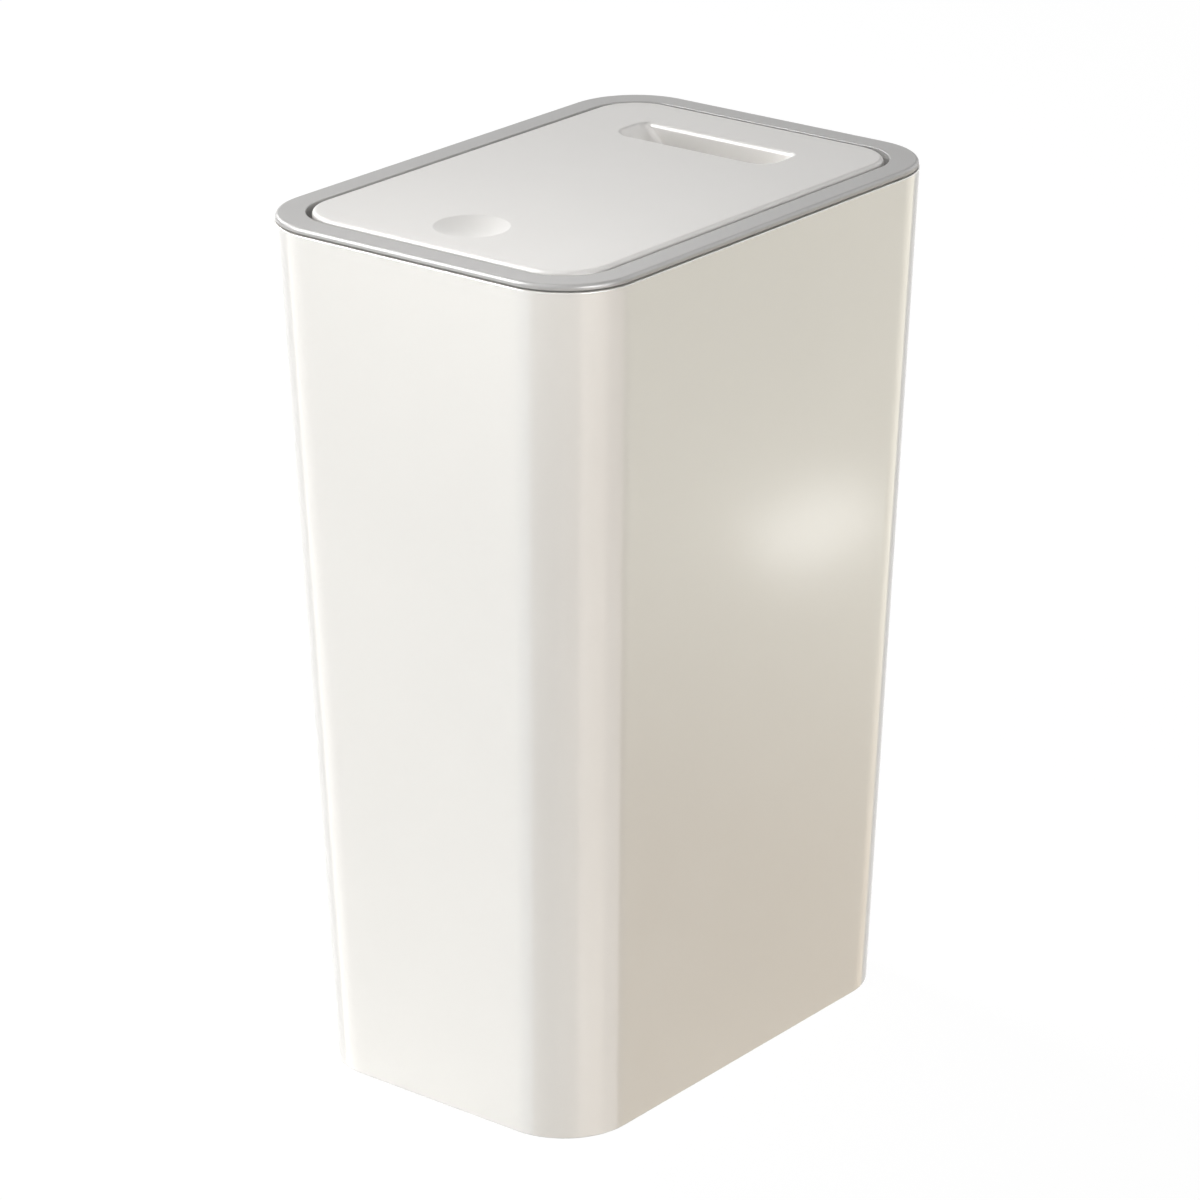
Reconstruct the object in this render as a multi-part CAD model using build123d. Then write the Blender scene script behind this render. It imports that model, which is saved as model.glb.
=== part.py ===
from build123d import *
import math
import os

os.makedirs("parts", exist_ok=True)

# Slim press-open trash can. Millimetres, +Z up, origin at the middle of the base on the floor.
# The lid's press dimple and latch are at the front (-Y), its hinge and grip at the back (+Y).

# Bucket
BUCKET_HEIGHT = 396.6
BUCKET_TOP_WIDTH = 186.1
BUCKET_TOP_DEPTH = 263.8
BUCKET_TOP_CORNER = 34.9
BUCKET_BASE_WIDTH = 159.4
BUCKET_BASE_DEPTH = 240.2
BUCKET_BASE_CORNER = 33.9
BUCKET_WALL = 2.2
RIM_ROUND = 0.8
FOOT_WALL = 2.8
FOOT_RECESS = 5.0
FOOT_ROUND = 0.7
FLOOR_THICKNESS = 2.6
FLOOR_ROUND = 6.0
RIB_THICKNESS = 1.8
RIB_HEIGHT = 3.6
RIB_PITCH_X = 44.0
RIB_PITCH_Y = 50.0
RIBS_ACROSS = 3
RIBS_ALONG = 3

# Ring frame on the rim
RING_SEAM = 0.3
RING_THICKNESS = 3.1
RING_INSET = 0.4
RING_BAND = 12.0
RING_OUTER_ROUND = 0.9
RING_INNER_ROUND = 0.5
RING_LOWER_ROUND = 0.4
OPENING_CORNER = 25.0
RING_WALL = 1.8
LOCATOR_HEIGHT = 6.0
LOCATOR_CLEARANCE = 0.35

# Inner frame under the ring
DECK_DEPTH = 16.0
DECK_THICKNESS = 2.0
DECK_GAP = 0.3
SKIRT_HEIGHT = 22.0
SKIRT_WALL = 1.8
SKIRT_CLEARANCE = 0.6
MOUTH_MARGIN_SIDE = 8.6
MOUTH_MARGIN_FRONT = 26.5
MOUTH_MARGIN_BACK = 22.5
MOUTH_CORNER = 16.0
MOUTH_LIP = 7.0
MOUTH_LIP_WALL = 1.8
POST_HEIGHT = 9.0
POST_RADIUS = 3.0
POST_BORE = 1.75
FRAME_POST_RADIUS = 2.8
FRAME_POST_SIDE_Y = 62.0
FRAME_POST_END_X = 48.0

# Screws
SCREW_RADIUS = 1.45
PILOT_CLEARANCE = 0.05
SCREW_HEAD_RADIUS = 2.6
SCREW_HEAD_CLEARANCE = 0.3
SCREW_HEAD_HEIGHT = 1.8
SCREW_HEAD_CHAMFER = 0.6
SCREW_CROSS_WIDTH = 0.8
SCREW_CROSS_SPAN = 3.2
SCREW_CROSS_DEPTH = 0.9
FRAME_SCREW_LENGTH = 15.0
LID_SCREW_LENGTH = 7.0
SHORT_SCREW_LENGTH = 6.0

# Lid cover
LID_PROUD = 0.7
LID_GAP_SIDE = 2.5
LID_GAP_END = 2.9
LID_CORNER = 22.5
LID_EDGE_ROUND = 2.2
LID_PANEL = 2.2
LID_SKIRT_HEIGHT = 8.2
LID_SKIRT_WALL = 2.0

# Press dimple and grip pocket in the cover
FEATURE_SHIFT = -2.5
DIMPLE_FROM_FRONT = 30.9
DIMPLE_RADIUS = 16.5
DIMPLE_DEPTH = 2.4
DIMPLE_WALL = 2.0
GRIP_LENGTH = 87.6
GRIP_WIDTH = 22.7
GRIP_FROM_BACK = 28.9
GRIP_DEPTH = 14.0
GRIP_RAMP_RUN = 13.0
GRIP_NEAR_CORNER = 8.5
GRIP_FAR_CORNER = 4.5
GRIP_EDGE_ROUND = 2.2
GRIP_WALL = 2.0

# Lid liner
LINER_THICKNESS = 1.8
LINER_DROP = 2.0
LINER_CLEARANCE = 0.3
LINER_LIP = 2.6
LINER_LIP_WALL = 1.5
GRIP_WINDOW_CLEARANCE = 0.5
LID_POST_RADIUS = 3.0
LID_POST_FROM_SIDE = 11.5
LID_POST_FROM_FRONT = 20.0
LID_POST_FROM_BACK = 27.0

# Hinge
HINGE_FROM_BACK = 11.0
HINGE_FROM_TOP = 4.3
HINGE_SPACING = 95.0
KNUCKLE_RADIUS = 2.6
KNUCKLE_WIDTH = 8.0
EAR_WIDTH = 3.0
EAR_RADIUS = 2.6
HINGE_SIDE_GAP = 0.35
SPRING_ROOM = 7.8
PIN_RADIUS = 1.2
PIN_RUNNING_CLEARANCE = 0.05
PIN_HEAD_RADIUS = 2.2
PIN_HEAD_WIDTH = 1.2
NOTCH_CLEARANCE = 1.0
NOTCH_TOP_CLEARANCE = 0.3
NOTCH_REACH = 7.5
NOTCH_BACK_REACH = 4.5
OPEN_ANGLE = 80.0
STOP_WIDTH = 20.0
STOP_THICKNESS = 2.6
STOP_HEIGHT = 1.8
STOP_GAP = 0.3

# Torsion springs at the hinge
LID_SPRING_WIRE = 0.8
LID_SPRING_COIL = 2.1
LID_SPRING_PITCH = 1.35
LID_SPRING_TURNS = 2
LID_SPRING_ARM = 6.0
LID_SPRING_SIDE = 2.2
LEG_HOLE_CLEARANCE = 0.3
LEG_HOLE_DEPTH = 1.5

# Striker under the lid
LATCH_FROM_FRONT = 12.4
STRIKER_FLANGE = (25.0, 9.0, 1.8)
STRIKER_NECK = (3.4, 5.0)
STRIKER_HEAD = (7.0, 5.0, 2.4)
STRIKER_DROP = 13.9
STRIKER_LEAD = 0.8
STRIKER_SCREW_X = 8.6
STRIKER_POST_HEIGHT = 3.6

# Push latch
LATCH_CAVITY = (19.2, 11.6)
LATCH_WALL = 1.8
LATCH_FLOOR = 2.0
LATCH_HEIGHT = 34.0
LATCH_PROUD = 1.5
LATCH_EAR = (6.6, 9.0, 2.2)
LATCH_SCREW_FROM_WALL = 5.0
LATCH_POST_HEIGHT = 3.0
LATCH_FIT = 0.2
PRESS_STROKE = 2.0
HEAD_SEAT_GAP = 0.3
CARRIAGE_BASE = 14.3
CARRIAGE_ARM = 8.0
CARRIAGE_ARM_WALL = 1.6
JAW_WIDTH = 4.0
JAW_THICKNESS = 2.0
JAW_LEAD = 0.9
JAW_HOOK_HEIGHT = 2.4
JAW_HEAD_CLEARANCE = 0.4
JAW_RELIEF = 1.7
JAW_PIVOT_DROP = 3.8
JAW_EYE_RADIUS = 1.6
JAW_SLOT_CLEARANCE = 0.35
JAW_PIN_RADIUS = 0.8
JAW_SHOULDER_GAP = 0.8
LATCH_SPRING_WIRE = 0.8
LATCH_SPRING_COIL = 2.4
LATCH_SPRING_BORE_CLEARANCE = 0.4
LATCH_SPRING_BORE_DEPTH = 7.0
LATCH_SPRING_TURNS = 5
CAM_WIRE_RADIUS = 0.45
CAM_TRACK_DEPTH = 1.6
CAM_GAP = 0.35
CAM_HEART_GAP = 0.5
CAM_HEART_WIDTH = 2.6
CAM_HEART_HEIGHT = 3.8
CAM_HEART_NOTCH = 1.0
CAM_HEART_BELOW_TIP = 2.2
CAM_WIRE_LENGTH = 10.0
CAM_WIRE_FROM_FLOOR = 3.0

# Heights that follow from the sizes above
RING_BOTTOM = BUCKET_HEIGHT + RING_SEAM
RING_TOP = RING_BOTTOM + RING_THICKNESS
LID_TOP = RING_TOP + LID_PROUD
PANEL_BOTTOM = LID_TOP - LID_PANEL
SKIRT_BOTTOM = LID_TOP - LID_SKIRT_HEIGHT
LINER_BOTTOM = SKIRT_BOTTOM - LINER_DROP
LINER_TOP = LINER_BOTTOM + LINER_THICKNESS
DECK_TOP = RING_TOP - DECK_DEPTH
DECK_BOTTOM = DECK_TOP - DECK_THICKNESS
POST_TOP = DECK_TOP + POST_HEIGHT
FLOOR_BOTTOM = FOOT_RECESS
FLOOR_TOP = FLOOR_BOTTOM + FLOOR_THICKNESS

# Plan sizes that follow from the sizes above
RING_HALF_X = BUCKET_TOP_WIDTH / 2 - RING_INSET
RING_HALF_Y = BUCKET_TOP_DEPTH / 2 - RING_INSET
RING_CORNER = BUCKET_TOP_CORNER - RING_INSET
OPENING_HALF_X = RING_HALF_X - RING_BAND
OPENING_HALF_Y = RING_HALF_Y - RING_BAND
LID_HALF_X = OPENING_HALF_X - LID_GAP_SIDE
LID_HALF_Y = OPENING_HALF_Y - LID_GAP_END
MOUTH_HALF_X = OPENING_HALF_X - MOUTH_MARGIN_SIDE
MOUTH_FRONT_Y = -OPENING_HALF_Y + MOUTH_MARGIN_FRONT
MOUTH_BACK_Y = OPENING_HALF_Y - MOUTH_MARGIN_BACK
HINGE_Y = LID_HALF_Y - HINGE_FROM_BACK
HINGE_Z = LID_TOP - HINGE_FROM_TOP
HINGE_WIDTH = 2 * EAR_WIDTH + 3 * HINGE_SIDE_GAP + KNUCKLE_WIDTH + SPRING_ROOM
HINGE_INNER_X = (HINGE_SPACING - HINGE_WIDTH) / 2
HINGE_OUTER_X = HINGE_INNER_X + HINGE_WIDTH
SPRING_START_X = HINGE_INNER_X + EAR_WIDTH + HINGE_SIDE_GAP
KNUCKLE_INNER_X = HINGE_OUTER_X - EAR_WIDTH - HINGE_SIDE_GAP - KNUCKLE_WIDTH
DIMPLE_Y = -LID_HALF_Y + DIMPLE_FROM_FRONT
GRIP_FAR_Y = LID_HALF_Y - GRIP_FROM_BACK
GRIP_Y = GRIP_FAR_Y - GRIP_WIDTH / 2
LATCH_Y = -LID_HALF_Y + LATCH_FROM_FRONT

# Latch heights that follow from the striker
STRIKER_TOP = LINER_BOTTOM
HEAD_BOTTOM = STRIKER_TOP - STRIKER_DROP
HEAD_TOP = HEAD_BOTTOM + STRIKER_HEAD[2]
CARRIAGE_SEAT = HEAD_BOTTOM - HEAD_SEAT_GAP
CARRIAGE_BOTTOM = CARRIAGE_SEAT - CARRIAGE_BASE
LATCH_TOP = DECK_TOP + LATCH_PROUD
LATCH_BOTTOM = LATCH_TOP - LATCH_HEIGHT
LATCH_CAVITY_FLOOR = LATCH_BOTTOM + LATCH_FLOOR
JAW_PIVOT_Z = CARRIAGE_SEAT - JAW_PIVOT_DROP
JAW_INNER_X = STRIKER_HEAD[0] / 2 + JAW_RELIEF
JAW_PIVOT_X = JAW_INNER_X + JAW_THICKNESS / 2
JAW_HOOK_BOTTOM = HEAD_TOP + PRESS_STROKE + JAW_SHOULDER_GAP
LATCH_SPRING_TOP = CARRIAGE_BOTTOM + LATCH_SPRING_BORE_DEPTH
CAM_TIP_Z = LATCH_CAVITY_FLOOR + CAM_WIRE_FROM_FLOOR + CAM_WIRE_LENGTH
CAM_WIRE_X = -CAM_HEART_WIDTH / 2 - CAM_HEART_GAP - CAM_WIRE_RADIUS


def rounded(half_x, half_y, corner, z=0.0):
    """Rounded rectangle about the Z axis at height z."""
    return Pos(0, 0, z) * RectangleRounded(2 * half_x, 2 * half_y, corner)


def slab(half_x, half_y, corner, low, high):
    """Upright prism on a rounded rectangle."""
    return extrude(rounded(half_x, half_y, corner, low), high - low)


def block(low, high):
    """Box between two opposite corners."""
    size = [b - a for a, b in zip(low, high)]
    middle = [(a + b) / 2 for a, b in zip(low, high)]
    return Pos(*middle) * Box(*size)


def post(x, y, low, high, radius):
    """Upright cylinder."""
    return Pos(x, y, (low + high) / 2) * Cylinder(radius, high - low)


def rod_x(x0, x1, y, z, radius):
    """Cylinder along X."""
    return Pos((x0 + x1) / 2, y, z) * Rot(0, 90, 0) * Cylinder(radius, x1 - x0)


def rod_y(y0, y1, x, z, radius):
    """Cylinder along Y."""
    return Pos(x, (y0 + y1) / 2, z) * Rot(90, 0, 0) * Cylinder(radius, y1 - y0)


def screw(x, y, head_bottom, length):
    """Screw that points up, with a bevelled head and a cross recess in it."""
    head_top = head_bottom + SCREW_HEAD_HEIGHT
    solid = post(x, y, head_bottom, head_top, SCREW_HEAD_RADIUS)
    solid += post(x, y, head_top, head_top + length, SCREW_RADIUS)
    rim = solid.edges().group_by(Axis.Z)[0]
    solid = chamfer(rim, SCREW_HEAD_CHAMFER)
    half = SCREW_CROSS_SPAN / 2
    slot = SCREW_CROSS_WIDTH / 2
    top = head_bottom + SCREW_CROSS_DEPTH
    solid -= block((x - half, y - slot, head_bottom), (x + half, y + slot, top))
    solid -= block((x - slot, y - half, head_bottom), (x + slot, y + half, top))
    return solid


def bucket_plan(z, inset):
    """Bucket's outline at height z, drawn in by inset."""
    share = z / BUCKET_HEIGHT
    half_x = (BUCKET_BASE_WIDTH + (BUCKET_TOP_WIDTH - BUCKET_BASE_WIDTH) * share) / 2 - inset
    half_y = (BUCKET_BASE_DEPTH + (BUCKET_TOP_DEPTH - BUCKET_BASE_DEPTH) * share) / 2 - inset
    corner = BUCKET_BASE_CORNER + (BUCKET_TOP_CORNER - BUCKET_BASE_CORNER) * share - inset
    return rounded(half_x, half_y, corner, z)


def bucket_slice(low, high, inset):
    """Tapered block between two heights that follows the bucket's walls."""
    return loft([bucket_plan(low, inset), bucket_plan(high, inset)], ruled=True)


def rim_point(half_y_offset, x_side):
    """Middle of the channel between the ring's two downward walls, on a long or a short side."""
    outer_x = BUCKET_TOP_WIDTH / 2 - BUCKET_WALL - LOCATOR_CLEARANCE - RING_WALL
    outer_y = BUCKET_TOP_DEPTH / 2 - BUCKET_WALL - LOCATOR_CLEARANCE - RING_WALL
    middle_x = (outer_x + OPENING_HALF_X + RING_WALL) / 2
    middle_y = (outer_y + OPENING_HALF_Y + RING_WALL) / 2
    return (middle_x, half_y_offset) if x_side else (half_y_offset, middle_y)


def frame_posts():
    """Places of the eight screws that join the ring and the inner frame."""
    side_x, side_y = rim_point(FRAME_POST_SIDE_Y, True)
    end_x, end_y = rim_point(FRAME_POST_END_X, False)
    quarter = [(side_x, side_y), (end_x, end_y)]
    return [(sx * x, sy * y) for x, y in quarter for sx in (-1, 1) for sy in (-1, 1)]


def lid_posts():
    """Places of the six screws that join the liner and the cover."""
    x = LID_HALF_X - LID_POST_FROM_SIDE
    rows = [-LID_HALF_Y + LID_POST_FROM_FRONT, 0.0, LID_HALF_Y - LID_POST_FROM_BACK]
    return [(sx * x, y) for sx in (-1, 1) for y in rows]


def make_bucket():
    """Tapered shell with a raised floor on a foot rim and stiffening ribs underneath."""
    outer = bucket_slice(0, BUCKET_HEIGHT, 0)
    inside = bucket_slice(FLOOR_TOP, BUCKET_HEIGHT + 1, BUCKET_WALL)
    inside = fillet(inside.faces().sort_by(Axis.Z)[0].edges(), FLOOR_ROUND)
    recess = bucket_slice(-1, FLOOR_BOTTOM, FOOT_WALL)
    shell = outer - inside - recess
    shell = fillet(shell.edges().group_by(Axis.Z)[-1], RIM_ROUND)
    shell = fillet(shell.edges().group_by(Axis.Z)[0], FOOT_ROUND)
    ribs = []
    low = FLOOR_BOTTOM - RIB_HEIGHT
    for i in range(RIBS_ACROSS):
        y = (i - (RIBS_ACROSS - 1) / 2) * RIB_PITCH_Y
        ribs.append(Pos(0, y, (low + FLOOR_BOTTOM) / 2) * Box(BUCKET_BASE_WIDTH, RIB_THICKNESS, RIB_HEIGHT))
    for i in range(RIBS_ALONG):
        x = (i - (RIBS_ALONG - 1) / 2) * RIB_PITCH_X
        ribs.append(Pos(x, 0, (low + FLOOR_BOTTOM) / 2) * Box(RIB_THICKNESS, BUCKET_BASE_DEPTH, RIB_HEIGHT))
    grid = ribs[0]
    for rib in ribs[1:]:
        grid += rib
    return shell + (grid & recess)


def make_top_frame():
    """Flat ring on the rim, with a wall round the opening, a locating wall and screw bosses."""
    plate = slab(RING_HALF_X, RING_HALF_Y, RING_CORNER, RING_BOTTOM, RING_TOP)
    plate = fillet(plate.edges().group_by(Axis.Z)[-1], RING_OUTER_ROUND)
    plate = fillet(plate.edges().group_by(Axis.Z)[0], RING_LOWER_ROUND)
    wall = slab(
        OPENING_HALF_X + RING_WALL,
        OPENING_HALF_Y + RING_WALL,
        OPENING_CORNER + RING_WALL,
        DECK_TOP + DECK_GAP,
        RING_BOTTOM + RING_LOWER_ROUND,
    )
    opening = slab(OPENING_HALF_X, OPENING_HALF_Y, OPENING_CORNER, DECK_BOTTOM, RING_TOP + 1)
    ring = (plate + wall) - opening
    inner_edge = [e for e in ring.edges().group_by(Axis.Z)[-1] if inside_ring(e)]
    ring = fillet(inner_edge, RING_INNER_ROUND)
    inset = BUCKET_WALL + LOCATOR_CLEARANCE
    top = RING_BOTTOM + RING_LOWER_ROUND
    locator = bucket_slice(RING_BOTTOM - LOCATOR_HEIGHT, top, inset)
    locator -= bucket_slice(RING_BOTTOM - LOCATOR_HEIGHT - 1, top + 1, inset + RING_WALL)
    ring += locator
    pilot_top = DECK_BOTTOM + FRAME_SCREW_LENGTH + PILOT_CLEARANCE
    for x, y in frame_posts():
        ring += post(x, y, POST_TOP, top, POST_RADIUS)
        ring -= post(x, y, POST_TOP - 1, pilot_top, SCREW_RADIUS + PILOT_CLEARANCE)
    return ring


def inside_ring(edge):
    """True for an edge of the opening, false for one of the ring's outer outline."""
    middle = edge @ 0.5
    reach_x = abs(middle.X) / (RING_HALF_X - RING_BAND / 2)
    reach_y = abs(middle.Y) / (RING_HALF_Y - RING_BAND / 2)
    return max(reach_x, reach_y) < 1


def hinge_ear(x0):
    """Upright ear on the deck with a rounded top that carries the hinge pin."""
    ear = block(
        (x0, HINGE_Y - EAR_RADIUS, DECK_BOTTOM),
        (x0 + EAR_WIDTH, HINGE_Y + EAR_RADIUS, HINGE_Z),
    )
    ear += rod_x(x0, x0 + EAR_WIDTH, HINGE_Y, HINGE_Z, EAR_RADIUS)
    ear -= rod_x(x0 - 1, x0 + EAR_WIDTH + 1, HINGE_Y, HINGE_Z, PIN_RADIUS + PIN_RUNNING_CLEARANCE)
    return ear


def lid_stop():
    """Low rib that the back edge of the lid's skirt meets when the lid is open."""
    angle = math.radians(OPEN_ANGLE)
    reach = HINGE_FROM_BACK - LID_SKIRT_WALL
    drop = SKIRT_BOTTOM - HINGE_Z
    back = HINGE_Y + reach * math.cos(angle) + drop * math.sin(angle) - STOP_GAP
    return block(
        (-STOP_WIDTH / 2, back - STOP_THICKNESS, DECK_BOTTOM),
        (STOP_WIDTH / 2, back, DECK_TOP + STOP_HEIGHT),
    )


def make_inner_frame():
    """Deck with a mouth, a skirt into the bucket, screw posts, hinge ears and a latch shelf."""
    inset = BUCKET_WALL + SKIRT_CLEARANCE
    skirt_bottom = DECK_TOP - SKIRT_HEIGHT
    body = bucket_slice(skirt_bottom, DECK_TOP, inset)
    body -= bucket_slice(skirt_bottom - 1, DECK_BOTTOM, inset + SKIRT_WALL)
    mouth_middle = (MOUTH_FRONT_Y + MOUTH_BACK_Y) / 2
    mouth_half_y = (MOUTH_BACK_Y - MOUTH_FRONT_Y) / 2
    lip_bottom = DECK_TOP - MOUTH_LIP
    lip = slab(
        MOUTH_HALF_X + MOUTH_LIP_WALL,
        mouth_half_y + MOUTH_LIP_WALL,
        MOUTH_CORNER + MOUTH_LIP_WALL,
        lip_bottom,
        DECK_TOP,
    )
    mouth = slab(MOUTH_HALF_X, mouth_half_y, MOUTH_CORNER, lip_bottom - 1, DECK_TOP + 1)
    body = (body + Pos(0, mouth_middle, 0) * lip) - Pos(0, mouth_middle, 0) * mouth
    for x, y in frame_posts():
        body += post(x, y, DECK_TOP, POST_TOP, FRAME_POST_RADIUS)
        body -= post(x, y, DECK_BOTTOM - 1, POST_TOP + 1, POST_BORE)
        body -= post(x, y, skirt_bottom - 1, DECK_BOTTOM, SCREW_HEAD_RADIUS + SCREW_HEAD_CLEARANCE)
    ears = hinge_ear(HINGE_INNER_X) + hinge_ear(HINGE_OUTER_X - EAR_WIDTH)
    body += ears + mirror(ears, about=Plane.YZ) + lid_stop()
    hole_radius = LID_SPRING_WIRE / 2 + LEG_HOLE_CLEARANCE
    for side in (-1, 1):
        leg_x = side * lid_spring_foot_x(DECK_TOP - DECK_THICKNESS / 2)
        body -= post(leg_x, HINGE_Y + LID_SPRING_COIL, DECK_BOTTOM - 1, DECK_TOP + 1, hole_radius)
    half_x = LATCH_CAVITY[0] / 2 + LATCH_WALL + LATCH_FIT
    half_y = LATCH_CAVITY[1] / 2 + LATCH_WALL + LATCH_FIT
    body -= block(
        (-half_x, LATCH_Y - half_y, DECK_BOTTOM - 1),
        (half_x, LATCH_Y + half_y, DECK_TOP + 1),
    )
    for x in latch_screw_places():
        body += post(x, LATCH_Y, DECK_BOTTOM, DECK_TOP + LATCH_POST_HEIGHT, POST_RADIUS)
        body -= post(x, LATCH_Y, DECK_BOTTOM - 1, latch_pilot_top(), SCREW_RADIUS + PILOT_CLEARANCE)
    return body


def lid_spring_foot_x(z):
    """X of a hinge spring's lower leg at height z; the leg keeps the slope of the coil."""
    slope = LID_SPRING_PITCH / (2 * math.pi * LID_SPRING_COIL)
    return SPRING_START_X + LID_SPRING_SIDE - slope * (HINGE_Z - z)


def latch_screw_places():
    """X of the two screws that hold the latch housing."""
    x = LATCH_CAVITY[0] / 2 + LATCH_WALL + LATCH_SCREW_FROM_WALL
    return (-x, x)


def latch_screw_head():
    """Underside of the latch screws' heads."""
    return DECK_BOTTOM - LATCH_EAR[2] - SCREW_HEAD_HEIGHT


def latch_pilot_top():
    """Closed end of the latch screws' pilot holes."""
    return latch_screw_head() + SCREW_HEAD_HEIGHT + SHORT_SCREW_LENGTH + PILOT_CLEARANCE


def grip_plan(length, z, outset):
    """Outline of the grip pocket: tight corners at its far side, large ones at its near side."""
    outline = Rectangle(length + 2 * outset, GRIP_WIDTH + 2 * outset)
    outline = fillet(outline.vertices().group_by(Axis.Y)[0], GRIP_NEAR_CORNER + outset)
    outline = fillet(outline.vertices().group_by(Axis.Y)[-1], GRIP_FAR_CORNER + outset)
    return Pos(FEATURE_SHIFT, GRIP_Y, z) * outline


def grip_solid(depth, outset, above):
    """Pocket's volume, with ramps at both ends, grown sideways by outset."""
    run = GRIP_RAMP_RUN * depth / GRIP_DEPTH
    floor = grip_plan(GRIP_LENGTH - 2 * run, LID_TOP - depth, outset)
    mouth = grip_plan(GRIP_LENGTH, LID_TOP, outset)
    solid = loft([floor, mouth], ruled=True)
    return solid + extrude(mouth, above) if above else solid


def dimple_sphere(extra):
    """Ball whose lower cap makes the press dimple, grown by extra."""
    radius = (DIMPLE_RADIUS**2 + DIMPLE_DEPTH**2) / (2 * DIMPLE_DEPTH)
    return Pos(FEATURE_SHIFT, DIMPLE_Y, LID_TOP - DIMPLE_DEPTH + radius) * Rot(90, 0, 0) * Sphere(radius + extra)


def hinge_notch(low, high):
    """Room for one hinge at the back of the lid, on the +X side."""
    return block(
        (HINGE_INNER_X - PIN_HEAD_WIDTH - NOTCH_CLEARANCE, HINGE_Y - NOTCH_REACH, low),
        (HINGE_OUTER_X + NOTCH_CLEARANCE, LID_HALF_Y + 1, high),
    )


def make_lid_cover():
    """Lid panel with a rounded edge, a skirt, the press dimple and the grip pocket."""
    cover = slab(LID_HALF_X, LID_HALF_Y, LID_CORNER, SKIRT_BOTTOM, LID_TOP)
    cover = fillet(cover.edges().group_by(Axis.Z)[-1], LID_EDGE_ROUND)
    cover -= slab(
        LID_HALF_X - LID_SKIRT_WALL,
        LID_HALF_Y - LID_SKIRT_WALL,
        LID_CORNER - LID_SKIRT_WALL,
        SKIRT_BOTTOM - 1,
        PANEL_BOTTOM,
    )
    tub = grip_solid(GRIP_DEPTH + GRIP_WALL, GRIP_WALL, 0.0)
    tub &= slab(LID_HALF_X, LID_HALF_Y, LID_CORNER, 0, PANEL_BOTTOM + LID_PANEL / 2)
    cover += tub
    under = Pos(FEATURE_SHIFT, DIMPLE_Y, PANEL_BOTTOM) * Cylinder(DIMPLE_RADIUS, 2 * LID_PANEL)
    cover += dimple_sphere(DIMPLE_WALL) & under & slab(LID_HALF_X, LID_HALF_Y, LID_CORNER, 0, LID_TOP)
    cover -= dimple_sphere(0.0)
    cover -= grip_solid(GRIP_DEPTH, 0.0, 1.0)
    cover = fillet([e for e in cover.edges().group_by(Axis.Z)[-1] if at_grip(e)], GRIP_EDGE_ROUND)
    for x, y in lid_posts():
        cover += post(x, y, LINER_TOP, PANEL_BOTTOM, LID_POST_RADIUS)
        cover -= post(x, y, LINER_TOP - 1, lid_pilot_top(), SCREW_RADIUS + PILOT_CLEARANCE)
    notch = hinge_notch(SKIRT_BOTTOM - 1, PANEL_BOTTOM)
    notch += block(
        (HINGE_INNER_X - PIN_HEAD_WIDTH - NOTCH_CLEARANCE, HINGE_Y - NOTCH_REACH, SKIRT_BOTTOM - 1),
        (
            HINGE_OUTER_X + NOTCH_CLEARANCE,
            HINGE_Y + NOTCH_BACK_REACH,
            HINGE_Z + EAR_RADIUS + NOTCH_TOP_CLEARANCE,
        ),
    )
    return cover - notch - mirror(notch, about=Plane.YZ)


def at_grip(edge):
    """True for an edge round the grip pocket's mouth."""
    middle = edge @ 0.5
    near_x = abs(middle.X - FEATURE_SHIFT) < GRIP_LENGTH / 2 + 1
    near_y = abs(middle.Y - GRIP_Y) < GRIP_WIDTH / 2 + 1
    return near_x and near_y


def lid_pilot_top():
    """Closed end of the lid screws' pilot holes."""
    return LINER_BOTTOM + LID_SCREW_LENGTH + PILOT_CLEARANCE


def striker_screw_head():
    """Underside of the striker screws' heads."""
    return STRIKER_TOP - STRIKER_FLANGE[2] - SCREW_HEAD_HEIGHT


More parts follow.
